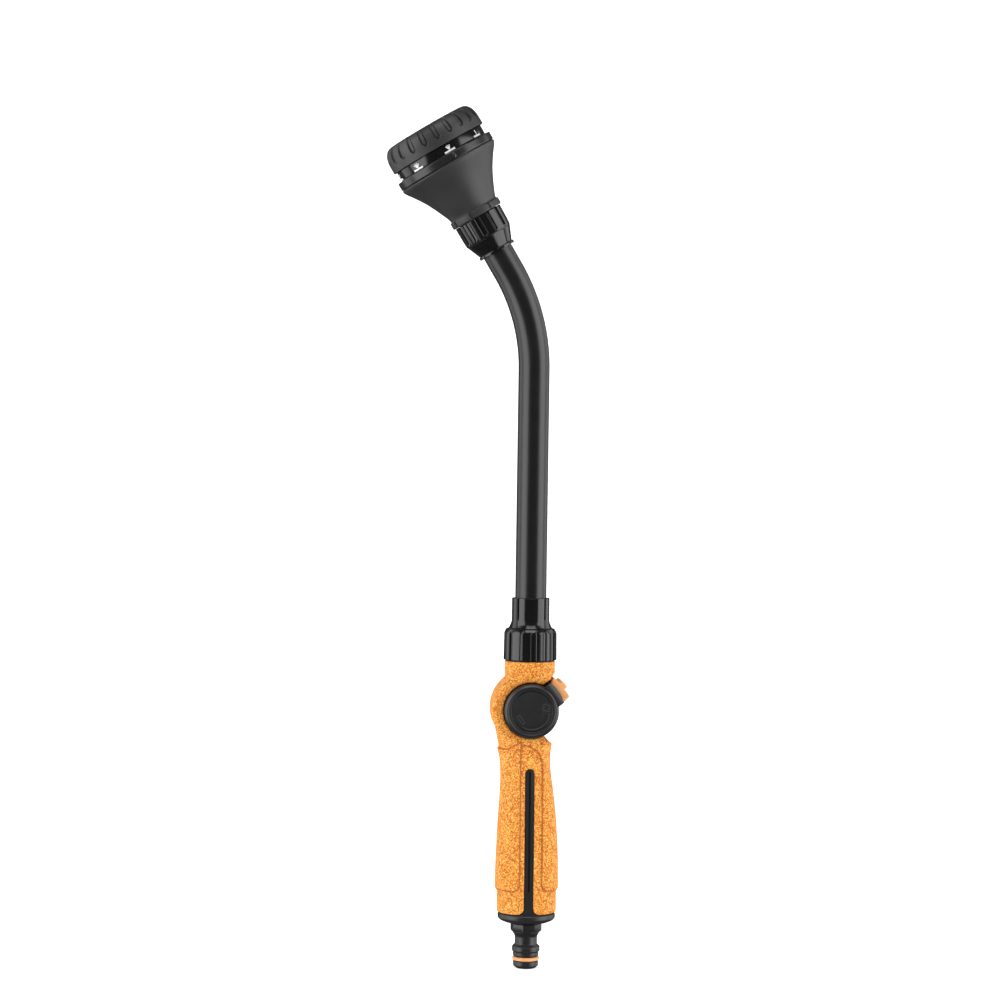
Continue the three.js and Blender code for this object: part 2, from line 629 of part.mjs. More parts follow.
piece('head_nut', headNut(), GLOSS_BLACK, dial);
piece('tube_ferrule_upper', ferrule(8.6, -1), NYLON, dial);
piece('tube_seal_upper', torus(10.8, 0.6, 15.5), RUBBER, dial);
piece('head_shell', headShell(), SOFT_BLACK, dial);
piece('head_baseplate', headBaseplate(), NYLON, dial);
piece('port_spring', portSpring(), STEEL, dial);
piece('port_seal', portSeal(), RUBBER, dial);
piece('click_spring', clickSpring(), STEEL, dial);
piece('post_oring', torus(4.05, 0.65, 70.4, SMALL), RUBBER, dial);
piece('diverter_plate', diverterPlate(), NYLON, dial);
piece('icon_band', iconBand(), GLOSS_BLACK, dial);
piece('selector_bezel', selectorBezel(), SOFT_BLACK, dial);
piece('spray_face', sprayFace(), SOFT_BLACK, dial);
around(3, Math.PI / 3, dialScrew).forEach((screw, i) => piece(`dial_screw_${i + 1}`, screw, STEEL, dial));
piece('face_screw', faceScrew(), STEEL, dial);
piece('face_screw_cap', faceScrewCap(), TAN, dial);

export default wand;
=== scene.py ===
"""Watering wand: finished surfaces, materials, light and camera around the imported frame."""
import json
import math

import bmesh
import bpy
from mathutils import Matrix, Vector


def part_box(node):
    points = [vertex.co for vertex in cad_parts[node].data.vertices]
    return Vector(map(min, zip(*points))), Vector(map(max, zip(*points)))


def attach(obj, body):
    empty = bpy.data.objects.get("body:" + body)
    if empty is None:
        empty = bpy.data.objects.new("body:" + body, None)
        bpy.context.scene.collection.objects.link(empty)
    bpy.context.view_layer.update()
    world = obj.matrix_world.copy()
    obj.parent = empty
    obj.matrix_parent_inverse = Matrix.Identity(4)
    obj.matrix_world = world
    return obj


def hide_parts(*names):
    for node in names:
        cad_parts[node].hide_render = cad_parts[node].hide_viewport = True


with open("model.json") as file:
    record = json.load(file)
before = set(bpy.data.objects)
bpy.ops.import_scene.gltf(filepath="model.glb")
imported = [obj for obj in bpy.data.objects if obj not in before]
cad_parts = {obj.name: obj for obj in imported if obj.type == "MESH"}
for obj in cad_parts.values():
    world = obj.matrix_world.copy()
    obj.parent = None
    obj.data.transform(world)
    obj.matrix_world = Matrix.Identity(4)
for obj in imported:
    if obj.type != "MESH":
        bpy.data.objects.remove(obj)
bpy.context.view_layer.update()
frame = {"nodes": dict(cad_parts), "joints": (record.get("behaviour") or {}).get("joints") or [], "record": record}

MM = 0.001
TURN = 2 * math.pi
JOINTS = {joint["name"]: joint for joint in frame["joints"]}

# ---- places, in millimetres, taken from the frame ----
HEAD_AXIS = Vector(JOINTS["spray_dial_turn"]["axis"]).normalized()
DIAL_STATION = 70.0  # where the dial's joint sits on the head's own axis
HEAD_ZERO = Vector(JOINTS["spray_dial_turn"]["pos_m"]) / MM - DIAL_STATION * HEAD_AXIS
HEAD_TILT = -math.acos(HEAD_AXIS.z)
BEND_TURN = math.atan2(-HEAD_AXIS.y, -HEAD_AXIS.x)
BEND = Matrix.Rotation(BEND_TURN, 4, "Z")
HEAD = Matrix.Translation(HEAD_ZERO) @ BEND @ Matrix.Rotation(HEAD_TILT, 4, "Y")
VALVE_Z = JOINTS["valve_lever"]["pos_m"][2] / MM
VALVE = Matrix.Translation((0, 0, VALVE_Z))
LEVER_ANGLE = math.radians(37)

HEAD_START = 47.6  # from where the tube's straights would meet to the head's own zero
TUBE_END = 22.0  # on the head's own axis
TUBE_R = 9.75
TUBE_WALL = 1.2
BEND_RADIUS = 119.0
HUB_R = 16.9
HUB_IN = 15.0
HUB_OUT = 22.5
ARM_HALF = 7.4
ARM_R = 20.7
NECK_R = 12.6
RIM_R = 32.75
BAND_R = 29.8
PORT_R = 17.0
NUT_R = 16.7
HEAD_NUT_R = 15.8
FLUTES = 13
CAP_R = 12.3
CAP_OUT = 22.0
BEZEL_GROOVES = 22
PATTERNS = 8


def span(node):
    """Lowest and highest z of a CAD node, in millimetres."""
    low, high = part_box(node)
    return low.z / MM, high.z / MM


# ---- shader writing ----
class Value:
    """A number on its way through a shader. Expressions on values add Math nodes."""

    def __init__(self, finish, socket):
        self.finish = finish
        self.socket = socket

    def math(self, operation, *others):
        node = self.finish.node("ShaderNodeMath", {"operation": operation}, {
            index: other for index, other in enumerate((self,) + others)})
        return Value(self.finish, node.outputs[0])

    def __add__(self, other):
        return self.math("ADD", other)

    __radd__ = __add__

    def __mul__(self, other):
        return self.math("MULTIPLY", other)

    __rmul__ = __mul__

    def __sub__(self, other):
        return self.math("SUBTRACT", other)


class Finish:
    """A material and the nodes that it is made of."""

    def __init__(self, name, **surface):
        self.material = bpy.data.materials.new(name)
        self.material.use_nodes = True
        self.tree = self.material.node_tree
        self.shader = self.tree.nodes["Principled BSDF"]
        self.put(self.shader, {key.replace("_", " "): value for key, value in surface.items()})

    def put(self, node, sockets):
        for key, value in sockets.items():
            if isinstance(value, Value):
                value = value.socket
            if isinstance(value, bpy.types.NodeSocket):
                self.tree.links.new(value, node.inputs[key])
            else:
                node.inputs[key].default_value = value

    def node(self, kind, settings=None, sockets=None):
        node = self.tree.nodes.new(kind)
        for key, value in (settings or {}).items():
            if key == "stops":
                self.fill_ramp(node.color_ramp, value)
            else:
                setattr(node, key, value)
        self.put(node, sockets or {})
        return node

    @staticmethod
    def fill_ramp(ramp, stops):
        while len(ramp.elements) < len(stops):
            ramp.elements.new(1.0)
        for element, (position, colour) in zip(ramp.elements, stops):
            element.position = position
            element.color = (*colour, 1)

    def place(self, stretch=(1, 1, 1), turn=0.0):
        """Object coordinates in millimetres, turned about Y so that they follow a tilted piece."""
        coordinates = self.node("ShaderNodeTexCoord").outputs["Object"]
        scale = [part / MM for part in stretch]
        mapping = self.node("ShaderNodeMapping", {"vector_type": "POINT"}, {
            "Vector": coordinates, "Rotation": (0, turn, 0), "Scale": scale})
        return mapping.outputs[0]

    def noise(self, vector, size, detail=2.0):
        """Soft random values from 0 to 1, with blotches of the given size in millimetres."""
        node = self.node("ShaderNodeTexNoise", None, {
            "Vector": vector, "Scale": 1.0 / size, "Detail": detail, "Roughness": 0.55})
        return Value(self, node.outputs[0])

    def ramp(self, value, stops):
        node = self.node("ShaderNodeValToRGB", {"stops": stops}, {"Fac": value})
        return node.outputs["Color"]

    def mix(self, factor, first, second, blend="MIX"):
        node = self.node("ShaderNodeMix", {"data_type": "RGBA", "blend_type": blend}, {
            0: factor, 6: first, 7: second})
        return node.outputs[2]

    def bump(self, height, depth, strength=1.0):
        """Raises the surface by height, which runs from 0 to 1, times depth in millimetres."""
        node = self.node("ShaderNodeBump", None, {
            "Height": height, "Distance": depth * MM, "Strength": strength})
        self.put(self.shader, {"Normal": node.outputs[0]})


def colour(red, green, blue):
    """A colour written as a screen shows it, from 0 to 255, turned into light."""
    return tuple((part / 255) ** 2.2 for part in (red, green, blue))


def cork_finish():
    """Soft grip with a cork look: packed grains of orange, yellow and brown, with painted shade along the pads'
    creases.
    """
    finish = Finish("cork_grip", Roughness=0.7, Specular_IOR_Level=0.25)
    where = finish.place()
    grains = finish.node("ShaderNodeTexVoronoi", {"feature": "F1"}, {"Vector": where, "Scale": 1.45})
    tint = finish.node("ShaderNodeSeparateColor", None, {"Color": grains.outputs["Color"]})
    pick = Value(finish, tint.outputs[0])
    patch = finish.noise(where, 5.0)
    fleck = finish.noise(where, 0.5, 3.0)
    tone = pick * 0.5 + patch * 0.12 + fleck * 0.85 - 0.26
    base = finish.ramp(tone, [
        (0.16, colour(142, 66, 20)), (0.34, colour(190, 104, 36)), (0.5, colour(214, 134, 52)),
        (0.66, colour(228, 162, 74)), (0.86, colour(248, 218, 132))])
    seam = Value(finish, finish.node("ShaderNodeAttribute", {"attribute_name": "seam"}).outputs["Fac"])
    # painted shade: darker brown mixed in along the pads' creases, where the step would hold shadow
    base = finish.mix(seam * 0.75, base, (*colour(150, 70, 26), 1))
    finish.put(finish.shader, {"Base Color": base})
    finish.put(finish.shader, {"Roughness": 0.62 + pick * 0.2})
    finish.bump(fleck * 0.6 + pick * 0.4, 0.14, 0.5)
    return finish.material


def plastic_finish(name, shade, rough, grain, depth, turn=0.0, coat=0.0):
    """Moulded plastic: a fine grain, slow changes of sheen and faint handling marks."""
    finish = Finish(name, Coat_Weight=coat, Coat_Roughness=0.12)
    where = finish.place(turn=turn)
    fine = finish.noise(where, grain, 3.0)
    slow = finish.noise(where, 18.0)
    drag = finish.noise(finish.place((2.2, 2.2, 0.25), turn), 1.4, 3.0)
    tone = slow * 0.5 + fine * 0.35 + drag * 0.15
    dark = tuple(part * 0.78 for part in shade)
    light = tuple(part * 1.28 for part in shade)
    finish.put(finish.shader, {"Base Color": finish.ramp(tone, [(0.3, dark), (0.7, light)])})
    finish.put(finish.shader, {"Roughness": rough - 0.06 + slow * 0.07 + drag * 0.06})
    finish.bump(fine, depth, 0.5)
    return finish.material


def rubber_finish(name, shade, rough):
    """Smooth rubber with a little dust in its pores."""
    finish = Finish(name, Specular_IOR_Level=0.35)
    where = finish.place()
    pores = finish.noise(where, 0.35, 4.0)
    slow = finish.noise(where, 6.0)
    pale = tuple(min(1.0, part * 1.12 + 0.012) for part in shade)
    deep = tuple(part * 0.86 for part in shade)
    tone = pores * 0.45 + slow * 0.55
    finish.put(finish.shader, {"Base Color": finish.ramp(tone, [(0.3, deep), (0.7, pale)])})
    finish.put(finish.shader, {"Roughness": rough + pores * 0.12})
    finish.bump(pores, 0.05, 0.5)
    return finish.material


def tube_finish():
    """Black anodised tube: satin, with faint lines drawn along it."""
    finish = Finish("black_tube", Specular_IOR_Level=0.5)
    where = finish.place()
    lines = finish.noise(finish.place((5.0, 5.0, 0.05)), 1.6, 3.0)
    cloud = finish.noise(where, 9.0)
    pits = finish.noise(where, 0.3, 3.0)
    tone = lines * 0.5 + cloud * 0.5
    finish.put(finish.shader, {"Base Color": finish.ramp(tone, [
        (0.3, (0.004, 0.004, 0.0044)), (0.7, (0.007, 0.007, 0.0076))])})
    finish.put(finish.shader, {"Roughness": 0.25 + lines * 0.05 + cloud * 0.05})
    finish.bump(pits * 0.6 + lines * 0.4, 0.02, 0.4)
    return finish.material


def metal_finish():
    """Turned steel with fine rings of the tool."""
    finish = Finish("steel", Metallic=1.0)
    where = finish.place()
    rings = finish.noise(finish.place((8.0, 8.0, 1.0)), 1.2, 4.0)
    finish.put(finish.shader, {"Base Color": finish.ramp(rings, [
        (0.3, (0.42, 0.42, 0.43)), (0.7, (0.62, 0.62, 0.63))])})
    finish.put(finish.shader, {"Roughness": 0.22 + rings * 0.16})
    finish.bump(finish.noise(where, 0.3), 0.01, 0.4)
    return finish.material


def print_finish():
    """White pad print, slightly uneven where the ink is thin."""
    finish = Finish("white_print", Roughness=0.45)
    ink = finish.noise(finish.place(), 0.5, 3.0)
    finish.put(finish.shader, {"Base Color": finish.ramp(ink, [
        (0.3, (0.78, 0.78, 0.76)), (0.7, (0.9, 0.9, 0.89))])})
    finish.put(finish.shader, {"Roughness": 0.38 + ink * 0.15})
    finish.bump(ink, 0.01, 0.3)
    return finish.material


CORK = cork_finish()
SATIN = plastic_finish("satin_black", (0.0125, 0.0125, 0.0135), 0.36, 0.5, 0.02)
SOFT = plastic_finish("soft_black", (0.021, 0.021, 0.022), 0.47, 0.35, 0.03, HEAD_TILT)
GLOSS = plastic_finish("gloss_black", (0.003, 0.003, 0.0033), 0.16, 3.0, 0.003)
HEAD_GLOSS = plastic_finish("gloss_black_head", (0.003, 0.003, 0.0033), 0.16, 3.0, 0.003, HEAD_TILT)
RIM = plastic_finish("polished_rim", (0.009, 0.009, 0.0095), 0.27, 0.9, 0.004, HEAD_TILT)
# lighter grey copy of the black plastic: a painted highlight for the hub marks' edges
EDGE_HIGHLIGHT = plastic_finish("painted_edge_highlight", (0.06, 0.06, 0.062), 0.35, 0.5, 0.01)
NYLON = plastic_finish("nylon", (0.62, 0.6, 0.52), 0.4, 0.6, 0.02)
WHITE = plastic_finish("white_plastic", (0.74, 0.74, 0.72), 0.25, 0.6, 0.01)
TAN = rubber_finish("tan_rubber", colour(226, 160, 104), 0.42)
SEAL = rubber_finish("seal_rubber", (0.02, 0.02, 0.02), 0.55)
TUBE = tube_finish()
STEEL = metal_finish()
PRINT = print_finish()


# ---- mesh helpers, all in millimetres until a piece is finished ----
def soften(points, radius, steps=4):
    """Rounds the corners of an open outline."""
    points = [Vector((p[0], 0, p[1])) for p in points]
    result = [points[0]]
    for before, corner, after in zip(points, points[1:], points[2:]):
        back, ahead = before - corner, after - corner
        reach = min(radius, back.length * 0.45, ahead.length * 0.45)
        start = corner + back.normalized() * reach
        end = corner + ahead.normalized() * reach
        for i in range(steps + 1):
            t = i / steps
            result.append((1 - t) ** 2 * start + 2 * t * (1 - t) * corner + t * t * end)
    result.append(points[-1])
    return result


def refine(points, step):
    """Adds points along an outline so that none are further apart than step."""
    result = [points[0]]
    for before, after in zip(points, points[1:]):
        count = max(1, math.ceil((after - before).length / step))
        result += [before.lerp(after, i / count) for i in range(1, count + 1)]
    return result


def turned(profile, radius=0.3, steps=128, closed=True, step=None):
    """A bmesh of a profile of (radius, height) points, rounded and turned about Z."""
    outline = list(profile)
    if closed:
        first, second = Vector(outline[0]), Vector(outline[1])
        middle = tuple((first + second) / 2)
        outline = [middle] + outline[1:] + [outline[0], middle]
    points = soften(outline, radius) if radius else [Vector((p[0], 0, p[1])) for p in outline]
    if step:
        points = refine(points, step)
    bm = bmesh.new()
    verts = [bm.verts.new(point) for point in points]
    edges = [bm.edges.new(pair) for pair in zip(verts, verts[1:])]
    bmesh.ops.spin(bm, geom=verts + edges, cent=(0, 0, 0), axis=(0, 0, 1), angle=TURN, steps=steps,
                   use_merge=True)
    return tidy(bm)


def tidy(bm):
    bmesh.ops.remove_doubles(bm, verts=bm.verts, dist=0.0005)
    bmesh.ops.dissolve_degenerate(bm, edges=bm.edges, dist=0.0001)
    bmesh.ops.recalc_face_normals(bm, faces=bm.faces)
    return bm


def moved(bm, matrix):
    bmesh.ops.transform(bm, matrix=matrix, verts=bm.verts)
    return bm


def box(sx, sy, sz, centre=(0, 0, 0), bevel=0.0):
    bm = bmesh.new()
    bmesh.ops.create_cube(bm, size=1, matrix=Matrix.Translation(centre) @ Matrix.Diagonal((sx, sy, sz, 1)))
    if bevel:
        soften_edges(bm, bevel)
    return bm


def soften_edges(bm, width, angle=30, segments=3):
    edges = [e for e in bm.edges if e.is_manifold and e.calc_face_angle(0) > math.radians(angle)]
    bmesh.ops.bevel(bm, geom=edges, offset=width, offset_type="OFFSET", affect="EDGES", segments=segments,
                    profile=0.5, material=-1, clamp_overlap=True)
    return bm


def slab(outline, low, high, bevel=0.0):
    """A flat outline of (x, z) points given depth along Y."""
    bm = bmesh.new()
    face = bm.faces.new([bm.verts.new((x, low, z)) for x, z in outline])
    extruded = bmesh.ops.extrude_face_region(bm, geom=[face])
    top = [item for item in extruded["geom"] if isinstance(item, bmesh.types.BMVert)]
    bmesh.ops.translate(bm, vec=(0, high - low, 0), verts=top)
    bmesh.ops.recalc_face_normals(bm, faces=bm.faces)
    if bevel:
        soften_edges(bm, bevel)
    return bm


def joined(*parts):
    """Several bmeshes as one, side by side and not cut into each other."""
    whole = bmesh.new()
    for part in parts:
        mesh = bpy.data.meshes.new("part")
        part.to_mesh(mesh)
        part.free()
        whole.from_mesh(mesh)
        bpy.data.meshes.remove(mesh)
    return whole


def rough_object(bm, name="part"):
    mesh = bpy.data.meshes.new(name)
    bm.to_mesh(mesh)
    bm.free()
    item = bpy.data.objects.new(name, mesh)
    bpy.context.scene.collection.objects.link(item)
    return item


def evaluated(item, discard=()):
    """The object's mesh after its modifiers, as a bmesh. The object and its helpers are removed."""
    graph = bpy.context.evaluated_depsgraph_get()
    mesh = bpy.data.meshes.new_from_object(item.evaluated_get(graph))
    bm = bmesh.new()
    bm.from_mesh(mesh)
    bpy.data.meshes.remove(mesh)
    for gone in (item, *discard):
        data = gone.data
        bpy.data.objects.remove(gone)
        bpy.data.meshes.remove(data)
    return bm


def cut(bm, *cutters, how="DIFFERENCE"):
    """Cuts bmeshes out of bm, or joins them with it."""
    item = rough_object(bm)
    tools = []
    for cutter in cutters:
        tool = rough_object(cutter, "cutter")
        change = item.modifiers.new("cut", "BOOLEAN")
        change.operation = how
        change.solver = "EXACT"
        change.object = tool
        tools.append(tool)
    return evaluated(item, tools)


def fused(bm, *others):
    return cut(bm, *others, how="UNION")


def dent(bm, depth_at):
    """Moves each point towards the Z axis by depth_at(angle, height, radius)."""
    for vert in bm.verts:
        radius = math.hypot(vert.co.x, vert.co.y)
        if radius < 1:
            continue
        angle = math.atan2(vert.co.y, vert.co.x)
        depth = depth_at(angle, vert.co.z, radius)
        if depth:
            vert.co.x *= 1 - depth / radius
            vert.co.y *= 1 - depth / radius
    return bm


def smooth_step(low, high, value):
    t = min(1.0, max(0.0, (value - low) / (high - low)))
    return t * t * (3 - 2 * t)


def off_centre(angle, count, phase, radius):
    """Distance along the surface from the nearest of count evenly spaced lines."""
    pitch = TURN / count
    return abs((angle - phase + pitch / 2) % pitch - pitch / 2) * radius


def finished(name, bm, body, material, replaces=None, place=None, sharp=40):
    """Gives a bmesh its place, its finish and its body, and lets it stand for a CAD node."""
    if place:
        moved(bm, place)
    moved(bm, Matrix.Diagonal((MM, MM, MM, 1)))
    mesh = bpy.data.meshes.new(name)
    bm.to_mesh(mesh)
    bm.free()
    mesh.shade_smooth()
    mesh.set_sharp_from_angle(angle=math.radians(sharp))
    item = bpy.data.objects.new(name, mesh)
    bpy.context.scene.collection.objects.link(item)
    mesh.materials.append(material)
    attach(item, body)
    if replaces:
        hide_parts(replaces)
    return item


along_y = Matrix.Rotation(math.radians(-90), 4, "X")  # turns +Z to +Y


def barrel(r, low, high, radius=0.0, steps=96):
    """A round along Y at the valve."""
    bm = turned([(0, low), (r, low), (r, high), (0, high)], radius, steps, closed=False)
    return moved(moved(bm, along_y), VALVE)


# ---- inlet ----
def make_connector():
    profile = [(4.3, 0), (6.0, 0), (7.85, 1.6), (7.85, 4.5), (5.9, 4.7), (5.9, 7.6), (8.0, 7.8), (8.0, 10.3),
               (8.7, 10.9), (8.7, 13.6), (7.0, 15.2), (7.0, 20.0), (8.4, 22.6), (8.4, 30), (4.3, 30)]
    body = turned(profile, 0.35)
    shoulder = bmesh.new()
    place = Matrix.Translation((0, 0, 25.7)) @ Matrix.Rotation(math.radians(30.5), 4, "Z")
    bmesh.ops.create_cone(shoulder, cap_ends=True, segments=8, radius1=10, radius2=10, depth=5, matrix=place)
    soften_edges(shoulder, 0.3)
    cone = turned([(0, 19), (6.2, 19), (10.6, 25), (10.6, 28.2), (0, 28.2)], 0.2, closed=False)
    shoulder = cut(shoulder, cone, how="INTERSECT")
    hollow = turned([(0, 10), (7.6, 10), (7.6, 40), (0, 40)], 0, closed=False)
    shoulder = cut(shoulder, hollow)
    body = fused(body, shoulder)
    finished("connector_body", body, "wand", SATIN, "hose_connector")
    seal = turned([(7.4 + 1.15 * math.cos(a), 6.1 + 1.15 * math.sin(a)) for a in
                   [TURN * i / 24 for i in range(24)]], 0)
    finished("connector_seal", seal, "wand", TAN, "connector_oring")


# ---- grip ----
# Height, leftmost x and rightmost x of the raised pads.
GRIP = [(27, -20, 19.9), (45, -20.1, 19.9), (55, -20.1, 19.7), (68, -19.85, 19.5), (80, -19.4, 18.9),
        (93, -18.9, 18.0), (105, -18.1, 16.7), (114, -17.75, 15.5), (122, -17.7, 14.3), (128, -17.9, 13.7),
        (133, -18.6, 13.6), (139, -20.1, 14.3), (146, -21.6, 15.2), (152, -22.6, 15.4), (162, -21, 15.8),
        (181, -16.4, 16.4), (196, -16.2, 16.2)]
GRIP_DEPTH = 0.93
GRIP_START = 35.4
PAD_STEP = 1.3
GAP = 0.3  # between the sleeve and what it sits on
SKIN = 2.4
SLOT_HALF = 2.85
SLOT_TOP = 126.2
PAD_TOP = 143.5
LEFT_EDGE = -5.8  # of the left pad's seam
COLLAR_TOP = 191.9
LIP_TOP = 193.1
COLLAR_R = 15.8
BOSS_R = 24.0
BOSS_HALF = 16.4


def grip_at(height):
    """Centre and half width of the raised pads at a height, on a smooth curve through GRIP."""
    rows = GRIP
    i = max(1, min(len(rows) - 3, sum(1 for row in rows if row[0] <= height) - 1))
    p0, p1, p2, p3 = rows[i - 1], rows[i], rows[i + 1], rows[min(i + 2, len(rows) - 1)]
    if height < rows[1][0]:
        return (rows[0][1] + rows[0][2]) / 2, (rows[0][2] - rows[0][1]) / 2
    t = min(1.0, (height - p1[0]) / (p2[0] - p1[0]))

    def blend(k):
        m1 = (p2[k] - p0[k]) / (p2[0] - p0[0]) * (p2[0] - p1[0])
        m2 = (p3[k] - p1[k]) / (p3[0] - p1[0]) * (p2[0] - p1[0])
        return ((2 * t ** 3 - 3 * t * t + 1) * p1[k] + (t ** 3 - 2 * t * t + t) * m1
                + (3 * t * t - 2 * t ** 3) * p2[k] + (t ** 3 - t * t) * m2)
    left, right = blend(1), blend(2)
    return (left + right) / 2, (right - left) / 2


def grip_body(inset, low, high, steps=110, sides=128):
    """The grip's rounded body, drawn in by inset, between two heights."""
    bm = bmesh.new()
    bmesh.ops.create_cone(bm, cap_ends=True, segments=sides, radius1=1, radius2=1, depth=1,
                          matrix=Matrix.Translation((0, 0, 0.5)))
    uprights = [e for e in bm.edges if abs(e.verts[0].co.z - e.verts[1].co.z) > 0.5]
    bmesh.ops.subdivide_edges(bm, edges=uprights, cuts=steps - 1, use_grid_fill=True)
    for vert in bm.verts:
        height = low + vert.co.z * (high - low)
        centre, half = grip_at(height)
        half -= inset
        depth = half * GRIP_DEPTH - inset * (1 - GRIP_DEPTH)
        vert.co = Vector((centre + vert.co.x * half, vert.co.y * depth, height))
    return bm


def pad_area(side):
    """The area of one raised pad seen from the front: side is -1 for the left one, 1 for the right."""
    if side < 0:
        outline = [(-40, 50), (-9.3, 50), (-6.8, 51.5), (LEFT_EDGE, 54), (LEFT_EDGE, PAD_TOP), (-14, 138.4),
                   (-40, 138.4)]
        return slab(outline, -40, 40)
    outline = [(8, 54), (9, 51.5), (11.5, 50), (40, 50), (40, 141.5), (-4.4, 141.5), (-0.5, 140.4),
               (3, 138.2), (5.6, 135.4), (7.3, 132), (8, 128)]
    return slab(outline, -40, 40)


def slot_area(half, top, start, flare=4.4):
    """The slot's outline: straight, with a round top and flared lower corners."""
    foot = start - 1
    points = [(-half - flare, foot), (half + flare, foot)]
    for i in range(9):
        a = -math.pi / 2 - math.pi / 2 * i / 8
        points.append((half + flare + flare * math.cos(a), start + flare + flare * math.sin(a)))
    for i in range(17):
        a = math.pi * i / 16
        points.append((half * math.cos(a), top - half + half * math.sin(a)))
    for i in range(9):
        a = -math.pi / 2 * i / 8
        points.append((-half - flare + flare * math.cos(a), start + flare + flare * math.sin(a)))
    return slab(points, -40, 40)


def window_area():
    """The window that the lever swings in."""
    c, s = math.cos(LEVER_ANGLE), math.sin(LEVER_ANGLE)
    above = ARM_HALF + 1.1

    def upper(t):
        return (t * c - above * s, VALVE_Z + t * s + above * c)
    outline = [(0, VALVE_Z), (7.4, VALVE_Z - 15.2), (13.2, VALVE_Z - 20.9), (45, VALVE_Z - 20.9),
               (45, VALVE_Z + 40), upper(45), upper(8)]
    return slab(outline, -60, 60)


def crease(bm):
    """Presses a thin line into the grip along the pads' edges, and stores a weight along it that the cork finish
    uses for painted shade.
    """
    seam = bm.verts.layers.float.new("seam")
    lines = [[(LEFT_EDGE, PAD_TOP), (LEFT_EDGE, 54), (-6.8, 51.5), (-9.3, 50), (-24, 50)],
             [(LEFT_EDGE, PAD_TOP), (-14, 138.4), (-24, 138.4)],
             [(-4.4, 141.5), (-0.5, 140.4), (3, 138.2), (5.6, 135.4), (7.3, 132), (8, 128), (8, 54),
              (9, 51.5), (11.5, 50), (24, 50)]]
    parts = [(Vector(a), Vector(b)) for line in lines for a, b in zip(line, line[1:])]
    bm.normal_update()
    for vert in bm.verts:
        x, y, z = vert.co
        if abs(y) < 3 or not 48 < z < PAD_TOP + 1.5:
            continue
        if 55 < z < 127 and abs(x - LEFT_EDGE) > 1 and abs(x - 8) > 1:
            continue
        point = Vector((x, z))
        near = 9.0
        for a, b in parts:
            run = b - a
            t = min(1.0, max(0.0, (point - a).dot(run) / run.length_squared))
            near = min(near, (point - a - run * t).length)
        weight = 1 - smooth_step(0.25, 0.85, near)
        if weight:
            # this weight drives the cork finish's painted crease shade
            vert[seam] = weight
            vert.co -= vert.normal * 0.4 * weight


def make_grip():
    base = grip_body(PAD_STEP, GRIP_START, COLLAR_TOP)
    pads = [cut(grip_body(0, 50, PAD_TOP), pad_area(side), how="INTERSECT") for side in (-1, 1)]
    boss = barrel(BOSS_R, -BOSS_HALF, BOSS_HALF, 2.2, 160)
    collar = turned([(8, 180), (COLLAR_R, 180), (COLLAR_R, LIP_TOP), (15, LIP_TOP), (15, COLLAR_TOP),
                     (8, COLLAR_TOP)], 0.3)
    outer = fused(base, *pads, boss, collar)
    inner = grip_body(PAD_STEP + SKIN, 30, 182, 60, 96)
    hollow_boss = barrel(BOSS_R - SKIN, -14.8, 14.8)
    neck = turned([(0, 160), (NECK_R + GAP, 160), (NECK_R + GAP, 220), (0, 220)], 0, 96, closed=False)
    shell = cut(outer, inner, hollow_boss, neck, barrel(HUB_R + 0.5, -40, 40, 0, 160), window_area(),
                slot_area(SLOT_HALF, SLOT_TOP, GRIP_START))
    item = rough_object(shell)
    remesh = item.modifiers.new("even", "REMESH")
    remesh.mode = "VOXEL"
    remesh.voxel_size = 0.62
    bm = evaluated(item)
    for _ in range(3):
        bmesh.ops.smooth_vert(bm, verts=bm.verts, factor=0.5, use_axis_x=True, use_axis_y=True,
                              use_axis_z=True)
    crease(bm)
    finished("grip", bm, "wand", CORK, "grip_sleeve", sharp=80)


def make_core():
    flange = turned([(0, 28.3), (9.6, 28.4), (13.6, 29.2), (16.6, 30.4), (18.0, 31.8), (18.0, 34.2),
                     (17.4, 35.0), (0, 35.0)], 0.6, closed=False)
    inner = grip_body(PAD_STEP + SKIN + GAP, 34, 181, 60, 96)
    boss = barrel(BOSS_R - SKIN - GAP, -14.5, 14.5)
    shell = cut(fused(inner, boss), window_area())
    neck = turned([(0, 160), (NECK_R, 160), (NECK_R, COLLAR_TOP), (0, COLLAR_TOP)], 0, 96, closed=False)
    drum = barrel(15.4, -14.5, 14.5, 0.3)
    strip = cut(grip_body(PAD_STEP + 0.4, 34, 130, 80, 128),
                slot_area(SLOT_HALF - GAP, SLOT_TOP - GAP, GRIP_START - GAP), how="INTERSECT")
    body = fused(flange, shell, neck, drum, strip)
    groove = cut(box(1.2, 80, 74, (0, 0, 50 + 37)), grip_body(PAD_STEP + 1.5, 30, 150, 60, 96))
    body = cut(body, groove)
    finished("core", body, "wand", SATIN, "handle_core", sharp=30)


# ---- thumb valve ----
def neck_room():
    return turned([(0, VALVE_Z), (NECK_R + 0.4, VALVE_Z), (NECK_R + 0.4, COLLAR_TOP), (0, COLLAR_TOP)], 0, 96,
                  closed=False)


def on_side(bm, side):
    """Turns a round drawn along +Z to face +Y, or -Y for side -1."""
    bm = moved(bm, along_y)
    return moved(bm, Matrix.Rotation(math.pi, 4, "Z")) if side < 0 else bm


